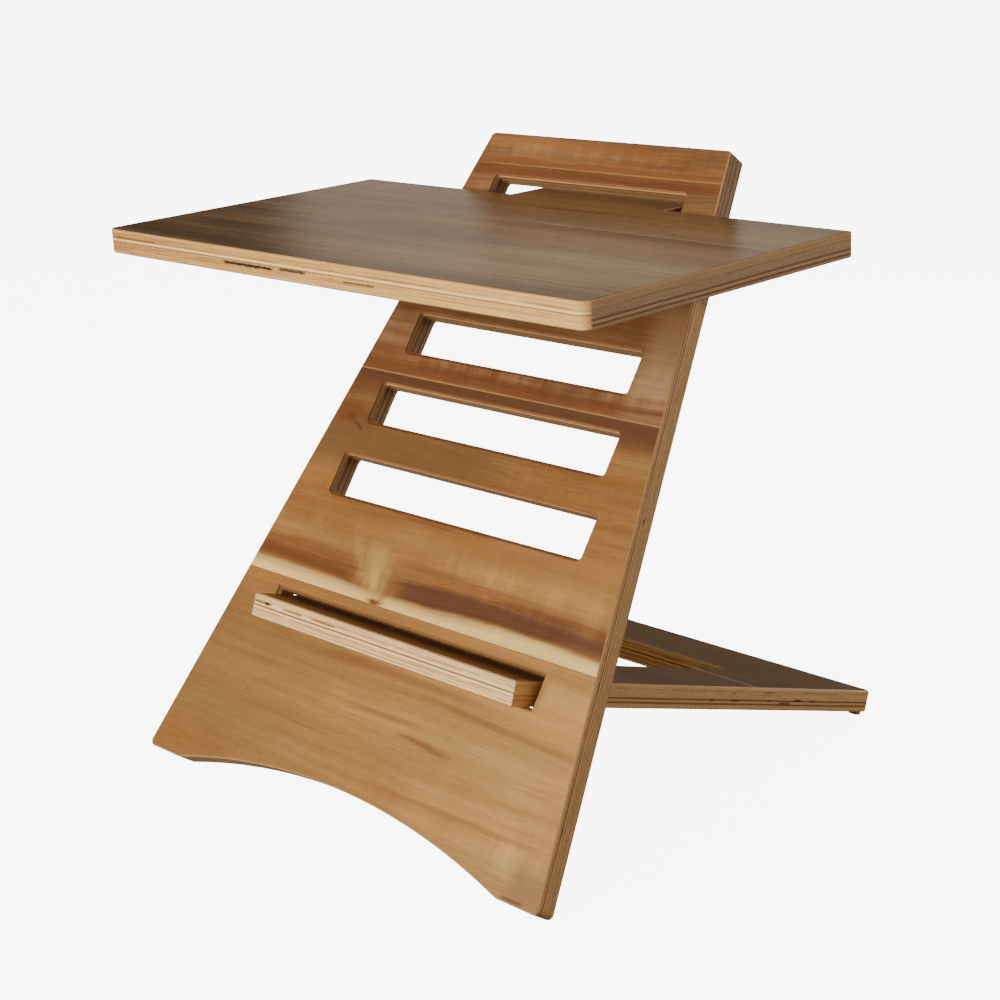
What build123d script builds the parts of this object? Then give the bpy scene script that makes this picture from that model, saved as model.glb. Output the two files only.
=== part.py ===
"""Knock-down plywood laptop stand, built from three boards that lock together without fasteners.

A slotted panel leans back on two feet. A shelf pushes its tongue through one of five slots in the panel
and wedges there, and a hollow strut passes through a sixth slot and props the panel from behind on two
bumpers. Every board is a ply core with a face veneer on both sides, and the wide veneers are laid in
leaves that meet at straight seams.

Frame: X to the right, Y to the rear, Z up, origin on the floor below the middle of the whole stand.
"""

import os
from math import cos, radians, sin

from build123d import *

# Boards
board_t = 19.0
veneer_t = 1.0
panel_edge_c = 1.2
slot_edge_c = 3.0
shelf_edge_r = 1.5
strut_edge_c = 1.2

# Fits
wedge_gap = 0.2
shoulder_gap = 0.3
strut_side_gap = 1.0

# Stance
panel_lean = 57.8
shelf_dip = 3.9
strut_slope = 15.6

# Panel
panel_length = 574.0
panel_bottom_w = 444.0
panel_top_w = 252.7
panel_top_corner_r = 4.0
panel_foot_corner_r = 5.0
arch_span = 363.0
arch_rise = 26.0
arch_blend_r = 14.0
lower_seam_rise = 22.6
upper_seam_drop = 38.2
upper_seam_slot = 2

# Panel slots
shelf_slots = 5
top_slot_inset = 55.4
slot_pitch = 64.4
top_slot_w = 199.5
slot_w_step = 18.4
slot_corner_r = 2.5
base_slot_s = 144.0

# Shelf
shelf_w = 501.0
shelf_depth = 272.0
shelf_offset = 16.0
shelf_front_r = 8.0
shelf_rear_r = 15.0
shelf_seam = 187.0
tongue_w = 160.0
tongue_reach = 20.0
tongue_root_r = 8.0
tongue_end_r = 6.0

# Strut
strut_w = 292.0
strut_reach = 21.3
strut_rear_r = 6.0
strut_seam = 257.0
hole_w = 160.6
hole_front = 76.0
hole_rear = 305.0
hole_corner_r = 12.0

# Bumpers
bumper_d = 10.5
bumper_h = 3.5
bumper_edge_c = 0.8
bumper_inset = 8.0

half_t = board_t / 2
lean = radians(panel_lean)
dip = radians(shelf_dip)
slope = radians(strut_slope)

# Angles between each tongue and the panel's normal
shelf_skew = radians(90 - panel_lean + shelf_dip)
strut_skew = radians(90 - panel_lean - strut_slope)


def wedge_height(skew):
    """Height of a square-cut slot that a board crosses at this skew, bearing on two bevelled arrises."""
    return (board_t + 2 * wedge_gap + (board_t - 2 * slot_edge_c) * sin(skew)) / cos(skew)


shelf_slot_h = wedge_height(shelf_skew)
base_slot_h = wedge_height(strut_skew)
base_slot_w = strut_w + 2 * strut_side_gap
# A board's lower arris meets the panel's face this far from the slot's middle
shelf_face_run = (half_t + half_t * sin(shelf_skew)) / cos(shelf_skew)

# The bevelled rear arris of the two feet stands on the floor
foot_z = (board_t - panel_edge_c) * cos(lean)

# Stations up the panel's face: slot middles and veneer seams
top_slot_s = panel_length - top_slot_inset
panel_lower_seam = base_slot_s + lower_seam_rise
panel_upper_seam = top_slot_s - upper_seam_slot * slot_pitch - upper_seam_drop

# Stations along the shelf from the middle of the top slot
shelf_shoulder = -(shelf_face_run + shoulder_gap / cos(shelf_skew))
shelf_front = shelf_shoulder - shelf_depth
shelf_end = shelf_face_run + tongue_reach

# The strut is as long as it must be for the tilted rims of its bumpers to stand on the floor
bumper_r = bumper_d / 2
rim_drop = (half_t + bumper_h) * cos(slope) + (bumper_r - bumper_edge_c) * sin(slope)
base_slot_z = foot_z + base_slot_s * sin(lean) - half_t * cos(lean)
bumper_run = (base_slot_z - rim_drop) / sin(slope)
bumper_x = strut_w / 2 - bumper_inset
strut_front = -(half_t / cos(strut_skew) + strut_reach)
strut_rear = bumper_run + bumper_inset

# The origin lies midway between the shelf's front edge and the strut's rear edge
top_slot_y = top_slot_s * cos(lean) + half_t * sin(lean)
base_slot_y = base_slot_s * cos(lean) + half_t * sin(lean)
shelf_nose_y = (shelf_front + shelf_edge_r) * cos(dip) - (half_t - shelf_edge_r) * sin(dip) - shelf_edge_r
front_y = top_slot_y + shelf_nose_y
rear_y = base_slot_y + strut_rear * cos(slope) + (half_t - strut_edge_c) * sin(slope)
middle_y = (front_y + rear_y) / 2

panel_up = Vector(0, cos(lean), sin(lean))
panel_front = Vector(0, -sin(lean), cos(lean))
panel_plane = Plane(origin=(-shelf_offset, -middle_y, foot_z), x_dir=(1, 0, 0), z_dir=panel_front)
panel_front_glue = panel_plane.offset(-veneer_t)
panel_rear_glue = panel_plane.offset(veneer_t - board_t)
lower_seam_plane = Plane(
    origin=panel_plane.from_local_coords((0, panel_lower_seam, 0)), z_dir=panel_up
)
upper_seam_plane = Plane(
    origin=panel_plane.from_local_coords((0, panel_upper_seam, 0)), z_dir=panel_up
)

# The middle plane of the shelf runs through the middle of the top slot
shelf_plane = Plane(
    origin=panel_plane.from_local_coords((shelf_offset, top_slot_s, -half_t)),
    x_dir=(1, 0, 0),
    z_dir=(0, -sin(dip), cos(dip)),
)
shelf_top_glue = shelf_plane.offset(half_t - veneer_t)
shelf_bottom_glue = shelf_plane.offset(veneer_t - half_t)
shelf_seam_plane = Plane(
    origin=shelf_plane.from_local_coords((0, shelf_front + shelf_seam, 0)),
    z_dir=(0, cos(dip), sin(dip)),
)

# The middle plane of the strut runs through the middle of the base slot
strut_plane = Plane(
    origin=panel_plane.from_local_coords((0, base_slot_s, -half_t)),
    x_dir=(1, 0, 0),
    z_dir=(0, sin(slope), cos(slope)),
)
strut_top_glue = strut_plane.offset(half_t - veneer_t)
strut_bottom_glue = strut_plane.offset(veneer_t - half_t)
strut_seam_plane = Plane(
    origin=strut_plane.from_local_coords((0, strut_seam, 0)),
    z_dir=(0, cos(slope), -sin(slope)),
)


# Panel board: tapered outline, arched foot, five shelf slots that widen downwards, one base slot
with BuildPart() as panel_board:
    with BuildSketch(panel_plane) as panel_sketch:
        with BuildLine():
            Polyline(
                (-arch_span / 2, 0),
                (-panel_bottom_w / 2, 0),
                (-panel_top_w / 2, panel_length),
                (panel_top_w / 2, panel_length),
                (panel_bottom_w / 2, 0),
                (arch_span / 2, 0),
            )
            ThreePointArc((arch_span / 2, 0), (0, arch_rise), (-arch_span / 2, 0))
        make_face()
        fillet(panel_sketch.vertices().group_by(Axis.Y)[-1], radius=panel_top_corner_r)
        # Corners are found again after each fillet, because it rebuilds the outline
        foot_corners = panel_sketch.vertices().group_by(Axis.Y)[0].sort_by(Axis.X)
        fillet([foot_corners[0], foot_corners[-1]], radius=panel_foot_corner_r)
        foot_corners = panel_sketch.vertices().group_by(Axis.Y)[0].sort_by(Axis.X)
        fillet(foot_corners[1:-1], radius=arch_blend_r)
        for step in range(shelf_slots):
            with Locations((0, top_slot_s - step * slot_pitch)):
                RectangleRounded(
                    top_slot_w + step * slot_w_step, shelf_slot_h, slot_corner_r, mode=Mode.SUBTRACT
                )
        with Locations((0, base_slot_s)):
            Rectangle(base_slot_w, base_slot_h, mode=Mode.SUBTRACT)
    extrude(amount=-board_t)
    panel_faces = panel_board.faces().sort_by(Axis((0, 0, 0), panel_front))
    panel_rims = panel_faces[0].outer_wire().edges() + panel_faces[-1].outer_wire().edges()
    slot_rims = panel_faces[0].inner_wires().edges() + panel_faces[-1].inner_wires().edges()
    chamfer(panel_rims, length=panel_edge_c)
    chamfer(slot_rims, length=slot_edge_c)

with BuildPart() as panel_core:
    add(panel_board.part)
    split(bisect_by=panel_front_glue, keep=Keep.BOTTOM)
    split(bisect_by=panel_rear_glue, keep=Keep.TOP)

with BuildPart() as panel_front_veneer_lower:
    add(panel_board.part)
    split(bisect_by=panel_front_glue, keep=Keep.TOP)
    split(bisect_by=lower_seam_plane, keep=Keep.BOTTOM)

with BuildPart() as panel_front_veneer_middle:
    add(panel_board.part)
    split(bisect_by=panel_front_glue, keep=Keep.TOP)
    split(bisect_by=lower_seam_plane, keep=Keep.TOP)
    split(bisect_by=upper_seam_plane, keep=Keep.BOTTOM)

with BuildPart() as panel_front_veneer_upper:
    add(panel_board.part)
    split(bisect_by=panel_front_glue, keep=Keep.TOP)
    split(bisect_by=upper_seam_plane, keep=Keep.TOP)

with BuildPart() as panel_rear_veneer:
    add(panel_board.part)
    split(bisect_by=panel_rear_glue, keep=Keep.BOTTOM)


# Shelf board: rounded rectangle with square shoulders and a narrower tongue behind
with BuildPart() as shelf_board:
    with BuildSketch(shelf_plane) as shelf_sketch:
        with BuildLine():
            Polyline(
                (-shelf_w / 2, shelf_front),
                (shelf_w / 2, shelf_front),
                (shelf_w / 2, shelf_shoulder),
                (tongue_w / 2, shelf_shoulder),
                (tongue_w / 2, shelf_end),
                (-tongue_w / 2, shelf_end),
                (-tongue_w / 2, shelf_shoulder),
                (-shelf_w / 2, shelf_shoulder),
                close=True,
            )
        make_face()
        shelf_rows = shelf_sketch.vertices().group_by(Axis.Y)
        shoulder_corners = shelf_rows[1].sort_by(Axis.X)
        fillet(shelf_rows[0], radius=shelf_front_r)
        fillet([shoulder_corners[0], shoulder_corners[-1]], radius=shelf_rear_r)
        fillet(shoulder_corners[1:-1], radius=tongue_root_r)
        fillet(shelf_rows[-1], radius=tongue_end_r)
    extrude(amount=half_t, both=True)
    shelf_faces = shelf_board.faces().sort_by(Axis((0, 0, 0), shelf_plane.z_dir))
    fillet(shelf_faces[0].edges() + shelf_faces[-1].edges(), radius=shelf_edge_r)

with BuildPart() as shelf_core:
    add(shelf_board.part)
    split(bisect_by=shelf_top_glue, keep=Keep.BOTTOM)
    split(bisect_by=shelf_bottom_glue, keep=Keep.TOP)

with BuildPart() as shelf_top_veneer_front:
    add(shelf_board.part)
    split(bisect_by=shelf_top_glue, keep=Keep.TOP)
    split(bisect_by=shelf_seam_plane, keep=Keep.BOTTOM)

with BuildPart() as shelf_top_veneer_rear:
    add(shelf_board.part)
    split(bisect_by=shelf_top_glue, keep=Keep.TOP)
    split(bisect_by=shelf_seam_plane, keep=Keep.TOP)

with BuildPart() as shelf_bottom_veneer:
    add(shelf_board.part)
    split(bisect_by=shelf_bottom_glue, keep=Keep.BOTTOM)


# Strut board: straight-sided frame round a large hole, its front end poking out of the base slot
with BuildPart() as strut_board:
    with BuildSketch(strut_plane) as strut_sketch:
        with Locations((0, (strut_front + strut_rear) / 2)):
            Rectangle(strut_w, strut_rear - strut_front)
        strut_rows = strut_sketch.vertices().group_by(Axis.Y)
        fillet(strut_rows[-1], radius=strut_rear_r)
        with Locations((0, (hole_front + hole_rear) / 2)):
            RectangleRounded(hole_w, hole_rear - hole_front, hole_corner_r, mode=Mode.SUBTRACT)
    extrude(amount=half_t, both=True)
    strut_faces = strut_board.faces().sort_by(Axis((0, 0, 0), strut_plane.z_dir))
    chamfer(strut_faces[0].edges() + strut_faces[-1].edges(), length=strut_edge_c)

with BuildPart() as strut_core:
    add(strut_board.part)
    split(bisect_by=strut_top_glue, keep=Keep.BOTTOM)
    split(bisect_by=strut_bottom_glue, keep=Keep.TOP)

with BuildPart() as strut_top_veneer_front:
    add(strut_board.part)
    split(bisect_by=strut_top_glue, keep=Keep.TOP)
    split(bisect_by=strut_seam_plane, keep=Keep.BOTTOM)

with BuildPart() as strut_top_veneer_rear:
    add(strut_board.part)
    split(bisect_by=strut_top_glue, keep=Keep.TOP)
    split(bisect_by=strut_seam_plane, keep=Keep.TOP)

with BuildPart() as strut_bottom_veneer:
    add(strut_board.part)
    split(bisect_by=strut_bottom_glue, keep=Keep.BOTTOM)


# Bumpers under the two rear corners of the strut
with BuildPart() as bumper_left:
    with BuildSketch(strut_plane.offset(-half_t)):
        with Locations((-bumper_x, bumper_run)):
            Circle(bumper_r)
    extrude(amount=-bumper_h)
    chamfer(bumper_left.edges().sort_by(Axis.Z)[0], length=bumper_edge_c)

with BuildPart() as bumper_right:
    with BuildSketch(strut_plane.offset(-half_t)):
        with Locations((bumper_x, bumper_run)):
            Circle(bumper_r)
    extrude(amount=-bumper_h)
    chamfer(bumper_right.edges().sort_by(Axis.Z)[0], length=bumper_edge_c)


panel_core.part.label = "panel_core"
panel_front_veneer_lower.part.label = "panel_front_veneer_lower"
panel_front_veneer_middle.part.label = "panel_front_veneer_middle"
panel_front_veneer_upper.part.label = "panel_front_veneer_upper"
panel_rear_veneer.part.label = "panel_rear_veneer"
shelf_core.part.label = "shelf_core"
shelf_top_veneer_front.part.label = "shelf_top_veneer_front"
shelf_top_veneer_rear.part.label = "shelf_top_veneer_rear"
shelf_bottom_veneer.part.label = "shelf_bottom_veneer"
strut_core.part.label = "strut_core"
strut_top_veneer_front.part.label = "strut_top_veneer_front"
strut_top_veneer_rear.part.label = "strut_top_veneer_rear"
strut_bottom_veneer.part.label = "strut_bottom_veneer"
bumper_left.part.label = "bumper_left"
bumper_right.part.label = "bumper_right"

os.makedirs("parts", exist_ok=True)
export_step(panel_core.part, "parts/panel_core.step")
export_step(panel_front_veneer_lower.part, "parts/panel_front_veneer_lower.step")
export_step(panel_front_veneer_middle.part, "parts/panel_front_veneer_middle.step")
export_step(panel_front_veneer_upper.part, "parts/panel_front_veneer_upper.step")
export_step(panel_rear_veneer.part, "parts/panel_rear_veneer.step")
export_step(shelf_core.part, "parts/shelf_core.step")
export_step(shelf_top_veneer_front.part, "parts/shelf_top_veneer_front.step")
export_step(shelf_top_veneer_rear.part, "parts/shelf_top_veneer_rear.step")
export_step(shelf_bottom_veneer.part, "parts/shelf_bottom_veneer.step")
export_step(strut_core.part, "parts/strut_core.step")
export_step(strut_top_veneer_front.part, "parts/strut_top_veneer_front.step")
export_step(strut_top_veneer_rear.part, "parts/strut_top_veneer_rear.step")
export_step(strut_bottom_veneer.part, "parts/strut_bottom_veneer.step")
export_step(bumper_left.part, "parts/bumper_left.step")
export_step(bumper_right.part, "parts/bumper_right.step")
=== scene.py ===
"""Looks of a knock-down plywood laptop stand: figured veneers, layered ply edges and rubber bumpers."""

import math

import bpy
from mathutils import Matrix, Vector

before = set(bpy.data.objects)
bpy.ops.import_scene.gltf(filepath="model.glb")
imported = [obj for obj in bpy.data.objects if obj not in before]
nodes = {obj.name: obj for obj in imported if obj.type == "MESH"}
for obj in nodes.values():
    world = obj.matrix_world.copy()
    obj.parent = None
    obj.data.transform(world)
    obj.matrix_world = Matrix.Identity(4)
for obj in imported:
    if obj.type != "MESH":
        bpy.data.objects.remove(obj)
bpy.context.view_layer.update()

# Stance of the boards. Lengths are in metres
LEAN = math.radians(57.8)
DIP = math.radians(3.9)
SLOPE = math.radians(15.6)
HALF_T = 0.0095
TOP_SLOT_UP = 0.5186
BASE_SLOT_UP = 0.144
SHELF_ASIDE = 0.016
SHELF_REACH = 0.291056
RIGHT = Vector((1, 0, 0))
PANEL_UP = Vector((0, math.cos(LEAN), math.sin(LEAN)))
PANEL_OUT = Vector((0, -math.sin(LEAN), math.cos(LEAN)))
PANEL_FOOT = Vector((-SHELF_ASIDE, -0.245651, 0.009485))
TOP_SLOT = PANEL_FOOT + TOP_SLOT_UP * PANEL_UP - HALF_T * PANEL_OUT + SHELF_ASIDE * RIGHT
BASE_SLOT = PANEL_FOOT + BASE_SLOT_UP * PANEL_UP - HALF_T * PANEL_OUT
SHELF_BACK = Vector((0, math.cos(DIP), math.sin(DIP)))
SHELF_FACE = Vector((0, -math.sin(DIP), math.cos(DIP)))
STRUT_FACE = Vector((0, math.sin(SLOPE), math.cos(SLOPE)))

# Each board's own frame: origin, and turn about X. Across the board, zero is its middle
PANEL = (PANEL_FOOT - HALF_T * PANEL_OUT, LEAN)
SHELF = (TOP_SLOT - SHELF_REACH * SHELF_BACK, DIP)
STRUT = (BASE_SLOT, -SLOPE)
FLOOR = (Vector((0, 0, 0)), 0.0)


class Value:
    """A socket of a node tree. Arithmetic on it adds Math nodes."""

    def __init__(self, owner, socket):
        self.owner = owner
        self.socket = socket

    def math(self, operation, *terms):
        return self.owner.node("ShaderNodeMath", {"operation": operation}, dict(enumerate(terms)))

    def __add__(self, other):
        return self.math("ADD", self, other)

    def __radd__(self, other):
        return self.math("ADD", other, self)

    def __sub__(self, other):
        return self.math("SUBTRACT", self, other)

    def __rsub__(self, other):
        return self.math("SUBTRACT", other, self)

    def __mul__(self, other):
        return self.math("MULTIPLY", self, other)

    def __rmul__(self, other):
        return self.math("MULTIPLY", other, self)

    def __truediv__(self, other):
        return self.math("DIVIDE", self, other)

    def __rtruediv__(self, other):
        return self.math("DIVIDE", other, self)

    def __pow__(self, other):
        return self.math("POWER", self, other)

    def __rpow__(self, other):
        return self.math("POWER", other, self)

    def __abs__(self):
        return self.math("ABSOLUTE", self)


class Tree:
    """A node tree, and the one way in which nodes are added to it."""

    def __init__(self, tree):
        self.tree = tree

    def node(self, kind, settings, inputs, output=0):
        made = self.tree.nodes.new(kind)
        for key, setting in settings.items():
            if key == "stops":
                ramp = made.color_ramp
                while len(ramp.elements) < len(setting):
                    ramp.elements.new(1.0)
                for element, (place, colour) in zip(ramp.elements, setting):
                    element.position = place
                    element.color = (*colour, 1.0)
            else:
                setattr(made, key, setting)
        for key, given in inputs.items():
            self.feed(made.inputs[key], given)
        return Value(self, made.outputs[output])

    def feed(self, socket, given):
        if isinstance(given, Value):
            self.tree.links.new(given.socket, socket)
        elif socket.type == "RGBA" and len(given) == 3:
            socket.default_value = (*given, 1.0)
        else:
            socket.default_value = given

    def step(self, value, low, high):
        """Smooth step from 0 at low to 1 at high."""
        return self.node(
            "ShaderNodeMapRange",
            {"interpolation_type": "SMOOTHSTEP"},
            {"Value": value, "From Min": low, "From Max": high},
        )

    def mix(self, factor, first, second, how="MIX"):
        settings = {"data_type": "RGBA", "blend_type": how, "clamp_factor": True}
        return self.node("ShaderNodeMix", settings, {0: factor, 6: first, 7: second}, 2)


class Finish(Tree):
    """One material, and the small vocabulary that finishes are written in."""

    def __init__(self, name):
        self.material = bpy.data.materials.new(name)
        self.material.use_nodes = True
        super().__init__(self.material.node_tree)
        self.shader = self.tree.nodes["Principled BSDF"]

    def surface(self, **inputs):
        for key, given in inputs.items():
            self.feed(self.shader.inputs[key.replace("_", " ")], given)

    def place(self, board):
        """Place on a board in millimetres: to the right, along the board, and out of its middle."""
        origin, turn = board
        point = self.node("ShaderNodeTexCoord", {}, {}, "Object")
        local = self.node(
            "ShaderNodeMapping",
            {"vector_type": "TEXTURE"},
            {"Vector": point, "Location": origin, "Rotation": (turn, 0, 0), "Scale": (0.001,) * 3},
        )
        split = self.node("ShaderNodeSeparateXYZ", {}, {"Vector": local})
        outputs = split.socket.node.outputs
        return tuple(Value(self, outputs[axis]) for axis in "XYZ")

    def toward(self, direction):
        """How squarely the surface faces along a direction: 1 along it, -1 against it."""
        normal = self.node("ShaderNodeNewGeometry", {}, {}, "True Normal")
        inputs = {0: normal, 1: tuple(direction)}
        return self.node("ShaderNodeVectorMath", {"operation": "DOT_PRODUCT"}, inputs, "Value")

    def noise(self, x, y, z, detail=2.0, roughness=0.5):
        """Smooth noise around zero, mostly between -1 and 1."""
        point = self.node("ShaderNodeCombineXYZ", {}, {"X": x, "Y": y, "Z": z})
        settings = {"noise_dimensions": "3D"}
        inputs = {"Vector": point, "Scale": 1.0, "Detail": detail, "Roughness": roughness}
        return (self.node("ShaderNodeTexNoise", settings, inputs) - 0.5) * 4.0

    def drawn(self, x, lines, seed, kind):
        """A noise of the wood, drawn out along the grain."""
        per_x, per_line, own_seed, detail, roughness = kind
        return self.noise(x * per_x, lines * per_line, seed + own_seed, detail, roughness)

    def ramp(self, value, *stops):
        return self.node("ShaderNodeValToRGB", {"stops": stops}, {"Fac": value})

    def bump(self, height, distance, strength=0.5):
        inputs = {"Height": height, "Distance": distance, "Strength": strength}
        return self.node("ShaderNodeBump", {}, inputs)

    def band(self, along, middle, half_width, soft=1.0):
        """Mask of a streak along the grain: 1 on its middle line and 0 beyond its half width."""
        off = abs(along - middle) / half_width
        return self.step(off, 1.0, 1.0 - soft)

    def window(self, x, start, end, soft):
        """Mask of a stretch of the grain from start to end."""
        return self.step(x, start - soft, start + soft) * self.step(x, end + soft, end - soft)


# Noises of the wood: steps per millimetre to the right and across the grain, seed, detail, roughness
WANDER = (0.0035, 0.010, 0.0, 2.0, 0.5)
WOBBLE = (0.016, 0.04, 3.0, 2.0, 0.5)
BARS = (0.12, 0.012, 41.0, 3.0, 0.65)
WIDE_BARS = (0.05, 0.02, 43.0, 2.0, 0.5)
BAR_PATCHES = (0.008, 0.02, 46.0, 2.0, 0.5)
BROAD = (0.0016, 0.030, 7.0, 3.0, 0.55)
FINE = (0.005, 0.17, 13.0, 4.0, 0.6)
FIBRE = (0.02, 1.1, 21.0, 3.0, 0.65)
FLECK = (0.11, 0.75, 25.0, 2.0, 0.7)
CLOUD = (0.008, 0.012, 29.0, 2.0, 0.5)
HUE = (0.006, 0.035, 61.0, 2.0, 0.5)
PORES = (0.07, 1.9, 53.0, 2.0, 0.7)
FLAME_RAG = (0.09, 0.035, 0.0, 3.0, 0.65)
KNOT_RAG = (0.09, 0.2, 0.0, 3.0, 0.6)

# How strongly each noise tells in a veneer's shade
BROAD_TELLS, FINE_TELLS, FIBRE_TELLS = 0.10, 0.075, 0.085
CLOUD_TELLS, FLECK_TELLS, BARS_TELL = 0.06, 0.05, 0.012
WANDER_MM = 4.0

# Tints that a veneer's tones are multiplied by
WARM_TINT, COOL_TINT = (1.05, 0.97, 0.93), (0.955, 1.03, 1.05)
DEEP, LIFTED = (0.45, 0.40, 0.36), (1.55, 1.6, 1.62)
PORE_TINT = (0.42, 0.30, 0.22)

# How squarely a surface faces, from where a mask begins to where it is full
OFF_FACE = (0.95, 0.75)
SLOT_END_FACING = (0.5, 0.65)
FLANK_FACING = (0.90, 0.97)
BEVEL_FACING = (0.4, 0.6)
OVERHEAD_FACING = (-0.2, -0.5)


def grain(leaf, x, along, seed, dips):
    """Lines of the grain in millimetres along the board. They run along X, wander, and dip at knots."""
    lines = along + leaf.drawn(x, along, seed, WANDER) * WANDER_MM + leaf.drawn(x, along, seed, WOBBLE)
    for at_x, at_along, reach, tall, depth in dips:
        lines = lines + leaf.window(x, at_x, at_x, reach) * leaf.band(along, at_along, tall) * depth
    return lines


def ripple(leaf, x, along, seed, patches):
    """Bars of light across the grain, faint all over and stronger in a leaf's own patches."""
    bars = leaf.drawn(x, along, seed, BARS) + leaf.drawn(x, along, seed, WIDE_BARS)
    total = leaf.drawn(x, along, seed, BAR_PATCHES) * BARS_TELL + BARS_TELL
    for start, end, middle, half_width, strength in patches:
        patch = leaf.window(x, start, end, 25.0) * leaf.band(along, middle, half_width)
        total = total + patch * strength
    return bars * total


def lay_streak(leaf, colour, x, lines, rag, streak):
    """A streak of another tone along the grain."""
    middle, slope, half_width, start, end, soft, tone, strength = streak
    mask = leaf.band(lines + rag * half_width * 0.2, x * slope + middle, half_width, 0.8)
    return leaf.mix(mask * leaf.window(x, start, end, soft) * strength, colour, tone)


def lay_flame(leaf, colour, x, along, flame):
    """A flame of light grain over a knot."""
    at_x, foot, top, half_width, lean, tone, strength = flame
    rag = leaf.drawn(x, along, at_x, FLAME_RAG)
    off = x - at_x - (along - foot) * lean + rag * half_width * 0.4
    mask = leaf.band(off, 0.0, half_width, 0.9) * leaf.window(along + rag * 4.0, foot, top, 9.0)
    return leaf.mix(mask * strength, colour, tone)


def lay_knot(leaf, colour, x, along, knot):
    """A small knot: a swirl round a dark, ragged heart."""
    at_x, at_along, wide, tall, swirl_tone, heart_tone, strength, heart_size = knot
    distance = (((x - at_x) / wide) ** 2.0 + ((along - at_along) / tall) ** 2.0) ** 0.5
    wild = distance + leaf.drawn(x, along, at_x, KNOT_RAG) * 0.22
    rings = leaf.noise(wild * 5.0, x * 0.03, at_along)
    swirl = leaf.step(wild, 1.2, 0.3) * (rings * 0.2 + 0.8)
    colour = leaf.mix(swirl * strength, colour, swirl_tone)
    heart = leaf.step(wild, heart_size, heart_size * 0.3) * leaf.step(rings, -0.5, 0.4)
    return leaf.mix(heart * strength, colour, heart_tone)


def lay_seam(leaf, colour, x, along, rag, seam):
    """A thin line where two leaves meet, or near there."""
    middle, half_width, start, end, tone, strength = seam
    line = leaf.band(along + rag * 0.2, middle, half_width) * leaf.window(x, start, end, 20.0)
    return leaf.mix(line * strength, colour, tone)


def rub_rim(leaf, colour, x, along, out, fibre, figure):
    """The outline's rubbed edge shows plain wood, a little paler than the face. The slot ends get painted
    shade.
    """
    rim = leaf.step(abs(leaf.toward(out)), *OFF_FACE)
    if "rim" in figure:
        # Painted shade: the sideways-facing ends inside the slots are darkened
        shaded_ends = rim * leaf.step(abs(leaf.toward(RIGHT)), *SLOT_END_FACING)
        colour = leaf.mix(shaded_ends * 0.85, colour, SLOT_END_SHADE)
        taper, reach, foot = figure["rim"]
        outside = leaf.step(abs(x) + along * taper, reach - 2.0, reach + 2.0)
        rim = rim * outside.math("MAXIMUM", outside, leaf.step(along, foot + 2.0, foot - 2.0))
    plain = leaf.mix(leaf.step(fibre, -1.0, 1.0), *figure["edge"])
    return leaf.mix(rim, colour, plain)


def veneer(name, board, out, seed, tones, figure, roughness):
    """A veneer leaf. tones are its dark, middle and light colours; figure adds what this leaf alone has, and
    painted light and shade on some leaves.
    """
    leaf = Finish(name)
    x, along, _ = leaf.place(board)
    lines = grain(leaf, x, along, seed, figure.get("dips", ()))
    broad = leaf.drawn(x, lines, seed, BROAD)
    fine = leaf.drawn(x, lines, seed, FINE)
    fibre = leaf.drawn(x, lines, seed, FIBRE)
    fleck = leaf.drawn(x, lines, seed, FLECK)
    cloud = leaf.drawn(x, along, seed, CLOUD)
    bold = figure.get("bold", 1.0)
    shade = 0.5 + broad * (BROAD_TELLS * bold) + fine * (FINE_TELLS * bold) + fibre * (FIBRE_TELLS * bold)
    shade = shade + cloud * CLOUD_TELLS + fleck * FLECK_TELLS
    shade = shade + ripple(leaf, x, along, seed, figure.get("ripples", ()))
    if "drift" in figure:
        shade = shade + x * figure["drift"]
    dark, middle, light = tones
    colour = leaf.ramp(shade, (0.18, dark), (0.5, middle), (0.82, light))
    hue = leaf.drawn(x, lines, seed, HUE)
    colour = leaf.mix(1.0, colour, leaf.mix(leaf.step(hue, -1.0, 1.0), WARM_TINT, COOL_TINT), "MULTIPLY")
    for streak in figure.get("streaks", ()):
        colour = lay_streak(leaf, colour, x, lines, fine + fibre * 0.5, streak)
    for flame in figure.get("flames", ()):
        colour = lay_flame(leaf, colour, x, along, flame)
    for knot in figure.get("knots", ()):
        colour = lay_knot(leaf, colour, x, along, knot)
    depth = leaf.mix(leaf.step(shade, 0.15, 0.85), DEEP, LIFTED)
    colour = leaf.mix(figure.get("depth", 0.45), colour, depth, "MULTIPLY")
    pores = leaf.drawn(x, lines, seed, PORES)
    colour = leaf.mix(leaf.step(pores, 0.62, 1.1) * 0.4, colour, PORE_TINT, "MULTIPLY")
    for seam in figure.get("seams", ()):
        colour = lay_seam(leaf, colour, x, along, fine, seam)
    relief = fibre * 0.5 + fine * 0.3 - leaf.step(pores, 0.5, 1.1) * 0.6
    leaf.surface(
        Base_Color=rub_rim(leaf, colour, x, along, out, fibre, figure),
        Specular_IOR_Level=figure.get("sheen", 0.5),
        Roughness=roughness + fine * 0.02 + pores * 0.02,
        Normal=leaf.bump(relief, 0.00012),
    )
    return leaf.material


def lay_line(core, colour, across, runs, line):
    """A ply or glue line in an edge."""
    middle, half_width, tone, strength, broken = line
    mask = core.band(across, middle, half_width, 0.6) * strength
    if broken:
        mask = mask * core.step(runs, broken - 0.6, broken + 0.3)
    return core.mix(mask, colour, tone)


def lay_dab(core, colour, run, across, rag, dab):
    """A dab in an edge: an open void, filler, or painted light."""
    start, end, middle, half_width, tone, strength = dab
    mask = core.band(across + rag * half_width * 0.5, middle, half_width, 0.6)
    mask = mask * core.window(run + rag * 2.0, start, end, 1.5) * strength
    return core.mix(mask, colour, tone)


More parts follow.
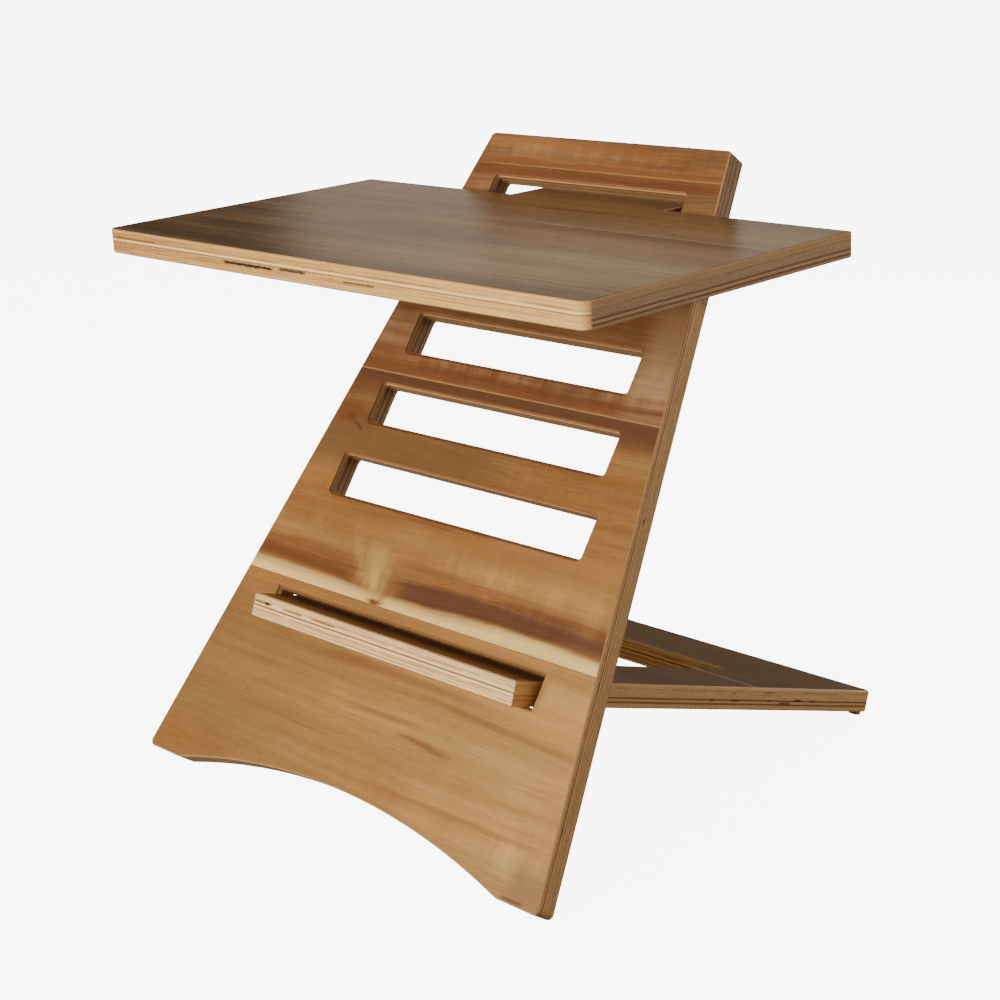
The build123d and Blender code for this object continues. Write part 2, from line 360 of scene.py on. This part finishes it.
def ply(name, board, seed, front, side, wall):
    """Layered edge of a core: its front and rear edges, its sides, and the walls of what is cut in it."""
    core = Finish(name)
    x, along, across = core.place(board)

    def layers(per_mm, per_layer, detail, own_seed=seed):
        return core.noise(x * per_mm, along * per_mm, across * per_layer + own_seed, detail, 0.6)

    streak = layers(0.02, 1.5, 3.0)
    speck = layers(0.3, 1.3, 2.0)
    runs = layers(0.02, 0.45, 3.0)
    rag = layers(0.3, 0.9, 3.0, 0.0)
    tone = streak * 0.50 + speck * 0.30 + 0.5
    if "drift" in front:
        tone = tone + x * front["drift"]
    sway = core.noise(x * 0.012, along * 0.012, seed + 2.0) * 0.25
    wavy = across + sway + core.noise(x * 0.1, along * 0.1, seed) * 0.1

    def edge(look, run):
        colour = core.mix(tone, look["dark"], look["light"])
        for line in look["lines"]:
            colour = lay_line(core, colour, wavy, runs, line)
        for dab in look.get("dabs", ()):
            colour = lay_dab(core, colour, run, across, rag, dab)
        return colour

    sideways = abs(core.toward(RIGHT))
    flank = core.step(sideways, *FLANK_FACING)
    colour = core.mix(flank, edge(front, x), edge(side, along))
    # The walls of the cuts are end grain, browner than the outline
    half_width, start = wall["inside"]
    inner = core.step(abs(x), half_width + 1.0, half_width - 1.0)
    inner = inner * core.step(along, start - 1.0, start + 1.0)
    cut = edge(wall, along)
    colour = core.mix(inner * flank, colour, cut)
    # A bevel carries the tone of the face. Its inner arris gets a painted highlight where it faces down, in
    # the slots above a given height, and painted shade elsewhere
    bevel = core.step(abs(core.toward(wall["out"])), *BEVEL_FACING)
    overhead = core.step(core.toward(wall["up"]), *OVERHEAD_FACING)
    overhead = overhead * core.step(along, wall["lit_from"] - 20.0, wall["lit_from"] + 20.0)
    arris = core.step(abs(across), wall["arris"] + 1.0, wall["arris"] + 0.3)
    # Painted highlight on the downward-facing arris of the upper slots, painted shade on the other arrises
    arris_light_shade = core.mix(overhead, core.mix(tone, *wall["shaded_arris"]), core.mix(tone, *wall["lit_arris"]))
    eased = core.mix(arris, core.mix(tone, *wall["face"]), arris_light_shade)
    # Painted shade on the bevels at the slot ends
    shaded_ends = inner * core.step(sideways, *SLOT_END_FACING)
    eased = core.mix(shaded_ends, eased, core.mix(0.65, cut, SLOT_END_SHADE))
    core.surface(
        Base_Color=core.mix(bevel, colour, eased),
        Specular_IOR_Level=0.3,
        Roughness=0.52 + streak * 0.04,
        Normal=core.bump(streak * 0.5 + speck * 0.3, 0.00015),
    )
    return core.material


def rubber(name):
    pad = Finish(name)
    x, along, across = pad.place(STRUT)
    mottle = pad.noise(x * 0.3, along * 0.3, across * 0.3, 3.0, 0.6)
    dust = pad.noise(x * 1.7, along * 1.7, across * 1.7, 2.0, 0.6)
    pad.surface(
        Base_Color=pad.mix(pad.step(mottle + dust * 0.4, -1.0, 1.0), RUBBER_DARK, RUBBER_LIGHT),
        Roughness=0.7 + mottle * 0.05,
        Normal=pad.bump(mottle * 0.4 + dust * 0.6, 0.0001),
    )
    return pad.material


def dress(material, *names):
    for name in names:
        slots = nodes[name].data.materials
        slots.clear()
        slots.append(material)


# Tones of the leaves: dark, middle and light
GOLD = ((0.135, 0.059, 0.022), (0.230, 0.111, 0.046), (0.350, 0.196, 0.085))
HONEY = ((0.170, 0.068, 0.019), (0.300, 0.135, 0.040), (0.430, 0.222, 0.073))
TAN = ((0.250, 0.118, 0.036), (0.370, 0.183, 0.055), (0.495, 0.268, 0.090))
UMBER = ((0.080, 0.038, 0.014), (0.175, 0.090, 0.039), (0.300, 0.172, 0.084))
DUSK = ((0.072, 0.029, 0.0065), (0.136, 0.062, 0.017), (0.211, 0.104, 0.033))

# Tones of their figure
DIM = DUSK[0]
RUSSET = (0.15, 0.052, 0.018)
MAUVE = (0.125, 0.049, 0.023)
# Pale sap wood, also used for a painted highlight low on the right of the panel
SAP_AND_HIGHLIGHT = (0.90, 0.60, 0.205)
CHESTNUT = (0.21, 0.080, 0.023)
AMBER = (0.40, 0.148, 0.036)
OLIVE = (0.34, 0.160, 0.045)
STRAW = (0.54, 0.325, 0.105)
FLAX = (0.66, 0.42, 0.15)
# Painted light for the strip right of the slots, below the shelf
PAINTED_LIGHT_BISCUIT = (0.40, 0.228, 0.122)
COPPER = (0.40, 0.180, 0.058)
COCOA = (0.125, 0.053, 0.024)
WALNUT = (0.172, 0.087, 0.031)
HAZEL = (0.150, 0.075, 0.034)
PLUM = (0.085, 0.032, 0.014)
KNOT_BLACK = (0.060, 0.024, 0.009)
KNOT_DARK = (0.065, 0.027, 0.010)
KNOT_RIM = (0.085, 0.034, 0.013)
KNOT_BROWN = (0.110, 0.046, 0.018)
BRAN = (0.27, 0.145, 0.048)
OAT = (0.27, 0.145, 0.058)
# Tone of a paler zone on the shelf top, partly the leaf's own and partly painted light
WHEAT = (0.42, 0.270, 0.140)
MALT = (0.33, 0.195, 0.085)
# Painted light for the right of the shelf top
PAINTED_LIGHT_FLINT = (0.34, 0.21, 0.10)
INK = (0.030, 0.012, 0.005)
BRICK = (0.22, 0.080, 0.022)
NUT = (0.26, 0.125, 0.045)
SHELF_SEAM = (0.62, 0.42, 0.22)
STRUT_SEAM = (0.50, 0.34, 0.19)
# Painted shade for the ends inside the slots
SLOT_END_SHADE = (0.105, 0.048, 0.018)
PANEL_EDGE = ((0.40, 0.205, 0.080), (0.58, 0.33, 0.145))
SHELF_EDGE = ((0.48, 0.255, 0.096), (0.70, 0.43, 0.180))
STRUT_EDGE = ((0.48, 0.27, 0.13), (0.68, 0.44, 0.24))
RUBBER_DARK, RUBBER_LIGHT = (0.28, 0.165, 0.062), (0.44, 0.275, 0.115)

# What the leaves have of their own, and some painted light and shade, in millimetres of their board. The
# rows say:
#   dips     x, along, reach, half height, depth
#   ripples  start, end, middle, half width, strength
#   streaks  middle, slope, half width, start, end, soft ends, tone, strength
#   flames   x, foot, top, half width, lean, tone, strength
#   knots    x, along, half width, half height, tone of the swirl, of the heart, strength, heart's size
#   seams    middle, half width, start, end, tone, strength
PANEL_LEAF = {
    "edge": PANEL_EDGE,
    # The outline lies beyond a line just inside the sides (its taper, its x at the foot),
    # or below the top of the arch
    "rim": (0.155, 198.0, 42.0),
    "sheen": 0.22,
}
upper_figure = {
    **PANEL_LEAF,
    "bold": 1.35,
    "ripples": [
        (-130, 130, 558, 14, 0.05),
        (-120, 160, 368, 14, 0.11),
        (125, 165, 400, 50, 0.06),
        (-150, 150, 385, 20, 0.04),
    ],
    "streaks": [
        (550.0, 0.0, 4.0, -140, 140, 30, CHESTNUT, 0.80),
        (541.0, 0.0, 8.0, -140, 140, 20, RUSSET, 0.75),
        (557.0, 0.0, 4.0, 20, 110, 30, RUSSET, 0.5),
        (567.0, 0.0, 5.0, -130, 90, 30, AMBER, 0.45),
        (566.0, 0.0, 7.0, -140, -95, 12, OLIVE, 0.45),
        (500.0, 0.0, 28.0, -160, -90, 20, CHESTNUT, 0.5),
        (432.0, 0.0, 10.0, -170, 170, 40, CHESTNUT, 0.35),
        (358.0, 0.0, 9.0, -190, 190, 40, RUSSET, 0.85),
        (369.0, 0.0, 8.0, -190, -100, 30, RUSSET, 0.6),
        # Painted light: a paler strip right of the slots, below the shelf, where the shelf's shade falls
        (405.0, 0.0, 62.0, 124, 190, 14, PAINTED_LIGHT_BISCUIT, 0.85),
    ],
    "seams": [(546.0, 0.8, -120, 135, STRAW, 0.5), (352.4, 0.8, -180, 180, STRAW, 0.6)],
}
middle_figure = {
    **PANEL_LEAF,
    "dips": [(-45.0, 178.0, 140.0, 34.0, 10.0)],
    "ripples": [
        (-150, -60, 222, 14, 0.06),
        (10, 190, 212, 18, 0.07),
        (60, 190, 192, 12, 0.09),
        (-75, -20, 184, 16, 0.08),
    ],
    "streaks": [
        (347.0, 0.0, 15.0, -220, 220, 30, COCOA, 0.95),
        (335.0, 0.0, 11.0, -210, -110, 20, RUSSET, 0.75),
        (336.0, 0.0, 12.0, 110, 210, 20, MAUVE, 0.75),
        (288.0, 0.0, 38.0, -200, 35, 45, WALNUT, 0.9),
        (312.0, 0.0, 28.0, -200, -118, 18, HAZEL, 0.8),
        (318.0, 0.0, 5.0, -190, -120, 15, CHESTNUT, 0.6),
        (300.0, 0.0, 4.0, -150, -118, 12, CHESTNUT, 0.5),
        (238.0, 0.01, 2.6, -48, 12, 14, CHESTNUT, 0.75),
        (237.0, 0.0, 9.0, 60, 215, 30, COPPER, 0.7),
        (222.0, 0.0, 14.0, -160, 200, 40, OLIVE, 0.45),
        (204.0, -0.015, 3.5, -25, 100, 20, CHESTNUT, 0.65),
        (210.0, 0.0, 12.0, 30, 205, 40, STRAW, 0.40),
        (197.0, 0.0, 6.0, -215, -80, 18, CHESTNUT, 0.75),
        (186.0, -0.01, 8.5, -240, -76, 12, RUSSET, 0.9),
        (170.5, 0.0, 12.5, -240, 240, 8, SAP_AND_HIGHLIGHT, 1.0),
        (187.5, 0.0, 11.0, -22, 240, 14, MAUVE, 0.95),
        (182.0, 0.0, 3.0, -20, 150, 20, PLUM, 0.6),
        (196.0, 0.0, 4.0, 80, 200, 25, RUSSET, 0.5),
        (335.2, 0.18, 1.5, -163, -149, 3, KNOT_BLACK, 0.9),
        (219.6, -0.59, 2.8, -150, -132, 4, KNOT_DARK, 0.85),
        (230.6, -0.59, 6.0, -150, -128, 8, KNOT_BROWN, 0.5),
    ],
    "flames": [
        (-42.0, 172.0, 210.0, 20.0, -0.45, STRAW, 0.55),
        (-48.0, 177.0, 194.0, 9.0, -0.3, FLAX, 0.5),
        (-68.0, 188.0, 214.0, 10.0, -0.6, STRAW, 0.3),
        (-34.0, 172.0, 188.0, 5.0, 0.4, CHESTNUT, 0.6),
        (-148.0, 307.0, 317.0, 4.0, 0.1, KNOT_RIM, 0.75),
    ],
    "knots": [
        (-153.0, 312.0, 24.0, 14.0, CHESTNUT, RUSSET, 0.85, 0.75),
        (-150.0, 308.0, 8.0, 4.0, RUSSET, MAUVE, 0.9, 0.8),
        (-40.0, 168.5, 12.0, 4.0, CHESTNUT, MAUVE, 0.9, 0.7),
    ],
}
lower_figure = {
    **PANEL_LEAF,
    # Painted light: the lower leaf grows lighter towards the right
    "drift": 0.0006,
    "ripples": [(165, 200, 30, 26, 0.10)],
    "streaks": [
        (160.0, 0.0, 7.0, -30, 220, 40, OLIVE, 0.55),
        (121.0, 0.0, 6.0, -80, 100, 30, CHESTNUT, 0.50),
        (113.0, -0.02, 4.0, 60, 215, 30, CHESTNUT, 0.55),
        (97.0, 0.0, 4.5, -215, -110, 20, CHESTNUT, 0.45),
        (83.0, -0.05, 3.0, 40, 92, 10, CHESTNUT, 0.75),
        (63.0, 0.0, 2.5, -130, -40, 20, CHESTNUT, 0.50),
        (90.0, 0.0, 3.0, -15, 50, 20, CHESTNUT, 0.55),
        (42.0, 0.0, 4.0, 40, 195, 30, CHESTNUT, 0.50),
        # Painted highlight: a pale patch low on the right of the panel
        (28.0, 0.0, 18.0, 172, 188, 12, SAP_AND_HIGHLIGHT, 0.28),
        (70.0, 0.0, 75.0, -240, -70, 60, BRAN, 0.45),
        (15.0, 0.0, 20.0, -230, -130, 50, AMBER, 0.15),
        (12.0, 0.0, 24.0, 190, 240, 8, OAT, 0.7),
        (4.0, 0.0, 2.4, 186, 206, 4, RUSSET, 0.8),
    ],
    "knots": [(-136.6, 71.2, 3.0, 1.6, CHESTNUT, RUSSET, 0.8, 0.8)],
    "seams": [(166.2, 0.5, -240, 240, CHESTNUT, 0.6)],
}
plain_figure = {"ripples": [(-150, 150, 300, 200, 0.04)], "edge": PANEL_EDGE}
SHELF_LEAF = {"edge": SHELF_EDGE, "depth": 0.8, "bold": 1.5}
shelf_front_figure = {
    **SHELF_LEAF,
    "streaks": [
        (120.0, 0.0, 7.0, -260, -165, 40, DIM, 0.6),
        (62.0, 0.0, 17.0, -220, -100, 50, DIM, 0.7),
        # Partly the leaf's paler tone and partly painted light on the right of the shelf top
        (95.0, 0.0, 90.0, 70, 300, 110, WHEAT, 0.72),
        (55.0, 0.0, 60.0, -60, 200, 90, MALT, 0.45),
        (7.0, 0.0, 10.0, -60, 250, 60, MAUVE, 0.65),
        (100.0, 0.0, 22.0, -60, 70, 60, MAUVE, 0.45),
        (176.0, 0.0, 11.0, 20, 250, 40, MAUVE, 0.7),
        (157.0, 0.0, 13.0, -110, 40, 60, OLIVE, 0.5),
    ],
    "seams": [(186.2, 1.1, 30, 260, SHELF_SEAM, 0.8)],
}
shelf_rear_figure = {
    **SHELF_LEAF,
    "streaks": [
        (239.0, 0.0, 4.5, -10, 260, 40, INK, 0.95),
        # Painted light on the right of the shelf top
        (220.0, 0.0, 60.0, 60, 300, 90, PAINTED_LIGHT_FLINT, 0.55),
        (196.0, 0.0, 8.0, -60, 250, 50, MAUVE, 0.4),
        # Painted shade on the tongue's top, behind and under the panel
        (300.0, 0.0, 34.0, -90, 90, 10, DIM, 0.3),
    ],
}
strut_figure = {
    "streaks": [
        (270.0, 0.0, 12.0, -150, 80, 40, MAUVE, 0.5),
        (300.0, 0.0, 8.0, -150, 60, 40, DIM, 0.6),
        (-20.0, 0.0, 14.0, -150, 150, 40, BRICK, 0.95),
        (90.0, 0.0, 30.0, -150, 150, 40, NUT, 0.6),
    ],
    "seams": [(257.5, 5.0, -160, 160, STRUT_SEAM, 0.85)],
    "edge": STRUT_EDGE,
    "sheen": 0.38,
}

# Node, then its finish: name, board, face, seed, tones, figure, roughness
LEAVES = [
    ("panel_front_veneer_upper", "veneer_upper", PANEL, PANEL_OUT, 2.0, GOLD, upper_figure, 0.38),
    ("panel_front_veneer_middle", "veneer_middle", PANEL, PANEL_OUT, 5.0, HONEY, middle_figure, 0.38),
    ("panel_front_veneer_lower", "veneer_lower", PANEL, PANEL_OUT, 9.0, TAN, lower_figure, 0.40),
    ("panel_rear_veneer", "veneer_rear", PANEL, PANEL_OUT, 14.0, HONEY, plain_figure, 0.40),
    ("shelf_top_veneer_front", "shelf_front_leaf", SHELF, SHELF_FACE, 17.0, UMBER, shelf_front_figure, 0.21),
    ("shelf_top_veneer_rear", "shelf_rear_leaf", SHELF, SHELF_FACE, 23.0, UMBER, shelf_rear_figure, 0.21),
    ("shelf_bottom_veneer", "shelf_underside", SHELF, SHELF_FACE, 27.0, HONEY, plain_figure, 0.40),
    ("strut_top_veneer_front", "strut_front_leaf", STRUT, STRUT_FACE, 31.0, DUSK, strut_figure, 0.32),
    ("strut_top_veneer_rear", "strut_rear_leaf", STRUT, STRUT_FACE, 37.0, DUSK, strut_figure, 0.32),
    ("strut_bottom_veneer", "strut_underside", STRUT, STRUT_FACE, 43.0, HONEY, plain_figure, 0.40),
]
for node, *leaf in LEAVES:
    dress(veneer(*leaf), node)

# Tones of the ply edges
CREAM = (0.92, 0.58, 0.255)
SAND = (0.62, 0.32, 0.125)
CLAY = (0.36, 0.145, 0.045)
FAWN = (0.30, 0.130, 0.038)
IVORY = (1.0, 0.720, 0.310)
BARK = (0.16, 0.066, 0.020)
SOOT = (0.060, 0.024, 0.008)
HOLLOW = (0.030, 0.013, 0.005)
FILLER = (0.92, 0.74, 0.46)

# What the edges have of their own, with a painted highlight and a dab of painted light, in millimetres of
# their board. The rows say:
#   lines    out of the middle, half width, tone, strength, how broken
#   dabs     start, end, out of the middle, half width, tone, strength
SLOT_WALL = {
    "dark": (0.135, 0.068, 0.031),
    "light": (0.40, 0.222, 0.104),
    "lines": [
        (-7.0, 0.5, SOOT, 0.7, 0), (-4.2, 0.7, SAND, 0.45, 0), (-1.8, 0.5, SOOT, 0.8, 0),
        (1.0, 0.7, SAND, 0.4, 0), (3.4, 0.5, SOOT, 0.7, 0), (5.6, 0.6, SAND, 0.45, 0),
        (7.2, 0.4, SOOT, 0.6, 0),
    ],
}
# Bevels of the shelf and the strut, which are narrow and as pale all over as their edges
PALE_BEVEL = {
    "arris": 8.0,
    "face": (SAND, CREAM),
    "lit_arris": (SAND, CREAM),
    "shaded_arris": (SAND, CREAM),
    "lit_from": 0.0,
}
panel_front = {
    "dark": (0.26, 0.130, 0.048),
    "light": (0.48, 0.275, 0.115),
    "lines": [
        (-6.5, 0.5, BARK, 0.6, 0), (-3.5, 0.6, SAND, 0.5, 0), (-0.8, 0.5, BARK, 0.6, 0),
        (2.2, 0.6, SAND, 0.5, 0), (4.6, 0.5, BARK, 0.6, 0), (7.0, 0.6, SAND, 0.5, 0),
    ],
}
panel_side = {
    "dark": (0.36, 0.190, 0.070),
    "light": (0.74, 0.425, 0.175),
    "lines": [
        (8.0, 0.35, BARK, 0.7, 0.1), (7.0, 0.6, SAND, 0.5, 0), (5.2, 0.55, SOOT, 0.85, 0),
        (4.0, 0.55, CREAM, 0.7, 0), (2.9, 0.35, BARK, 0.55, 0.1), (1.6, 0.5, SAND, 0.4, 0),
        (-3.0, 0.3, BARK, 0.3, 0.3), (-7.4, 0.4, BARK, 0.4, 0.1),
    ],
    "dabs": [
        (282, 286, 1.8, 1.2, HOLLOW, 0.8), (318, 321, -1.5, 1.2, HOLLOW, 0.7),
        (128, 134, 2.4, 1.2, SAND, 0.8), (55, 62, 5.2, 1.0, HOLLOW, 0.7),
        (156, 164, 5.2, 1.0, HOLLOW, 0.7),
    ],
}
panel_slots = {
    **SLOT_WALL,
    "inside": (146.5, 40.0),
    "out": PANEL_OUT,
    "up": PANEL_UP,
    "arris": 6.5,
    "face": ((0.19, 0.074, 0.025), (0.36, 0.150, 0.052)),
    # Painted highlight on the downward-facing arrises of the slots above this height, painted shade on the
    # other arrises
    "lit_arris": ((0.42, 0.22, 0.095), (0.60, 0.35, 0.16)),
    "shaded_arris": (BARK, CLAY),
    "lit_from": 275.0,
}
shelf_front = {
    "dark": (0.44, 0.198, 0.050),
    "light": (0.96, 0.555, 0.180),
    "drift": 0.0014,
    "lines": [
        (8.0, 0.81, CREAM, 0.44, 0.1), (6.4, 0.50, FAWN, 0.50, 0.2), (3.4, 0.75, FAWN, 0.85, 0.15),
        (1.7, 1.00, IVORY, 1.0, 0), (0.2, 0.60, FAWN, 0.75, 0), (-1.9, 0.94, FAWN, 0.75, 0.4),
        (-4.0, 0.81, FAWN, 0.60, 0.2), (-5.6, 0.68, CREAM, 0.38, 0.2), (-7.6, 0.60, IVORY, 0.62, 0.2),
    ],
    "dabs": [
        (-106, -50, -2.0, 1.5, HOLLOW, 1.0), (-42, -14, -1.0, 1.6, SOOT, 0.9),
        (26, 58, -2.7, 0.95, SOOT, 0.85), (-238, -190, 3.7, 0.95, BARK, 0.75),
    ],
}
shelf_side = {
    "dark": (0.218, 0.127, 0.055),
    "light": (0.47, 0.296, 0.148),
    "lines": [
        (7.2, 1.8, SAND, 0.35, 0), (4.9, 0.7, SAND, 0.65, 0), (3.7, 0.6, BARK, 0.45, 0.1),
        (-2.9, 1.0, BARK, 0.85, 0), (-4.6, 0.9, SAND, 0.75, 0), (-6.3, 1.0, BARK, 0.9, 0),
        (-7.8, 0.5, SAND, 0.4, 0.1),
    ],
}
shelf_tongue = {
    **SLOT_WALL,
    **PALE_BEVEL,
    "inside": (90.0, 285.0),
    "out": SHELF_FACE,
    "up": SHELF_BACK,
}
strut_front = {
    "dark": (0.86, 0.400, 0.130),
    "light": (1.0, 0.690, 0.280),
    "drift": 0.0010,
    "lines": [
        # The first line, at the top front arris, is a painted highlight
        (8.2, 0.94, IVORY, 1.0, 0), (6.9, 0.65, FAWN, 0.60, 0.1), (5.8, 0.81, IVORY, 0.75, 0.1),
        (4.8, 0.68, FAWN, 0.70, 0.1), (3.6, 0.68, FAWN, 0.9, 0.35), (2.0, 0.94, IVORY, 1.0, 0),
        (0.5, 0.85, FAWN, 1.0, 0), (-1.2, 0.94, IVORY, 1.0, 0), (-2.6, 0.68, FAWN, 0.70, 0.1),
        (-4.0, 0.60, FAWN, 0.70, 0.2), (-5.4, 0.68, IVORY, 0.62, 0.2), (-6.6, 0.60, FAWN, 0.70, 0.1),
        (-8.0, 1.08, IVORY, 1.0, 0),
    ],
    "dabs": [
        (-133, -126, 3.4, 1.5, HOLLOW, 1.0), (-124, -111, 3.0, 2.2, FILLER, 0.9),
        (-86, -76, 2.8, 1.7, FILLER, 0.8), (-146, -134, 3.4, 1.0, BARK, 0.8),
        (-110, -87, 3.4, 1.0, BARK, 0.75), (-75, -48, 3.3, 1.0, BARK, 0.75),
    ],
}
strut_side = {
    "dark": (0.35, 0.180, 0.062),
    "light": (0.74, 0.435, 0.185),
    "lines": [
        (8.3, 1.0, SAND, 0.6, 0), (7.4, 0.5, CREAM, 0.45, 0.1), (5.8, 0.8, BARK, 0.5, 0.2),
        (-1.3, 1.0, BARK, 0.9, 0), (-3.0, 0.8, SAND, 0.8, 0), (-4.6, 1.1, BARK, 0.85, 0),
        (-6.8, 0.9, SAND, 0.5, 0),
    ],
    "dabs": [
        # The first dab is painted light on the strut's flank inside the slot
        (-40, 2, 0.0, 16.0, CREAM, 0.5), (198, 202, -1.6, 1.2, HOLLOW, 0.9),
        (226, 236, -1.5, 1.2, HOLLOW, 0.9), (274, 280, -1.2, 1.0, HOLLOW, 0.8),
        (312, 323, -0.6, 1.3, HOLLOW, 0.9), (337, 342, -1.2, 1.0, HOLLOW, 0.9),
        (291, 307, -3.5, 1.7, BARK, 0.9), (268, 283, 5.4, 0.87, BARK, 0.6),
        (226, 229, 4.0, 1.7, BARK, 0.7), (218, 226, 6.0, 3.2, SAND, 0.6),
    ],
}
strut_hole = {
    **SLOT_WALL,
    **PALE_BEVEL,
    "inside": (82.0, 60.0),
    "out": STRUT_FACE,
    "up": -STRUT_FACE,
}

dress(ply("panel_ply", PANEL, 3.0, panel_front, panel_side, panel_slots), "panel_core")
dress(ply("shelf_ply", SHELF, 11.0, shelf_front, shelf_side, shelf_tongue), "shelf_core")
dress(ply("strut_ply", STRUT, 19.0, strut_front, strut_side, strut_hole), "strut_core")
dress(rubber("bumper_rubber"), "bumper_left", "bumper_right")


def floor():
    """A pale floor, far wider than the view."""
    half = 60.0
    mesh = bpy.data.meshes.new("floor")
    corners = [(-half, -half, 0), (half, -half, 0), (half, half, 0), (-half, half, 0)]
    mesh.from_pydata(corners, [], [(0, 1, 2, 3)])
    plane = bpy.data.objects.new("floor", mesh)
    plane.visible_diffuse = False
    plane.visible_glossy = False
    bpy.context.scene.collection.objects.link(plane)
    paint = Finish("floor_paint")
    x, y, _ = paint.place(FLOOR)
    cloud = paint.noise(x * 0.002, y * 0.002, 0.0)
    darker, lighter = (0.90, 0.90, 0.895), (0.93, 0.93, 0.925)
    paint.surface(
        Base_Color=paint.mix(paint.step(cloud, -1.0, 1.0), darker, lighter),
        Roughness=0.9,
        Emission_Color=(1.0, 1.0, 1.0),
        Emission_Strength=7.8,
    )
    mesh.materials.append(paint.material)


def room():
    """A dim room, lighter below where a floor throws light back, in front of a pale backdrop."""
    world = bpy.data.worlds.new("studio")
    world.use_nodes = True
    sky = Tree(world.node_tree)
    around = sky.node("ShaderNodeTexCoord", {}, {}, "Generated")
    height = sky.node("ShaderNodeSeparateXYZ", {}, {"Vector": around}, "Z")
    above, below = (0.095, 0.076, 0.055), (0.28, 0.25, 0.21)
    tone = sky.mix(sky.step(height, -0.2, -0.5), above, below)
    dim = sky.tree.nodes["Background"]
    sky.feed(dim.inputs["Color"], tone)
    sky.feed(dim.inputs["Strength"], 1.0)
    pale = sky.node("ShaderNodeBackground", {}, {"Color": (1.0, 1.0, 1.0), "Strength": 8.4})
    seen = sky.node("ShaderNodeLightPath", {}, {}, "Is Camera Ray")
    either = sky.node("ShaderNodeMixShader", {}, {0: seen, 1: Value(sky, dim.outputs[0]), 2: pale})
    sky.feed(sky.tree.nodes["World Output"].inputs["Surface"], either)
    bpy.context.scene.world = world


def lamp(name, place, target, width, height, power, colour):
    light = bpy.data.lights.new(name, "AREA")
    light.shape = "RECTANGLE"
    light.size = width
    light.size_y = height
    light.energy = power
    light.color = colour
    holder = bpy.data.objects.new(name, light)
    holder.location = place
    holder.rotation_euler = (Vector(target) - Vector(place)).to_track_quat("-Z", "Y").to_euler()
    holder.visible_camera = False
    bpy.context.scene.collection.objects.link(holder)


def lamps():
    """A low frontal softbox, and cards to the right, above and behind."""
    lamp("key", (-0.5, -3.3, 0.95), (0, -0.1, 0.25), 2.2, 1.5, 165, (1.0, 0.96, 0.90))
    lamp("right_card", (2.7, 1.5, 1.0), (0, 0.1, 0.3), 1.6, 1.6, 38, (1.0, 0.96, 0.88))
    lamp("overhead", (-0.2, 0.5, 2.8), (0, 0.1, 0.2), 2.4, 2.4, 18, (1.0, 0.95, 0.88))
    lamp("rear_card", (-1.476, 2.04, 1.0), (0, -0.1, 0.46), 1.89, 1.1, 3.1, (1.0, 0.86, 0.70))
    lamp("rear_fill", (-0.1, 2.6, 0.15), (0, 0.05, 0.25), 1.6, 0.5, 16, (1.0, 0.93, 0.84))


def camera():
    """The photograph's view: from the front right, a little above."""
    azimuth = math.radians(44.94)
    elevation = math.radians(14.89)
    eye = bpy.data.cameras.new("camera")
    eye.sensor_width = 36.0
    eye.lens = eye.sensor_width * 2.00317
    holder = bpy.data.objects.new("camera", eye)
    holder.location = (1.05797, -1.134291, 0.627405)
    holder.rotation_euler = (math.pi / 2 - elevation, 0.0, azimuth)
    bpy.context.scene.collection.objects.link(holder)
    bpy.context.scene.camera = holder


floor()
room()
lamps()
camera()
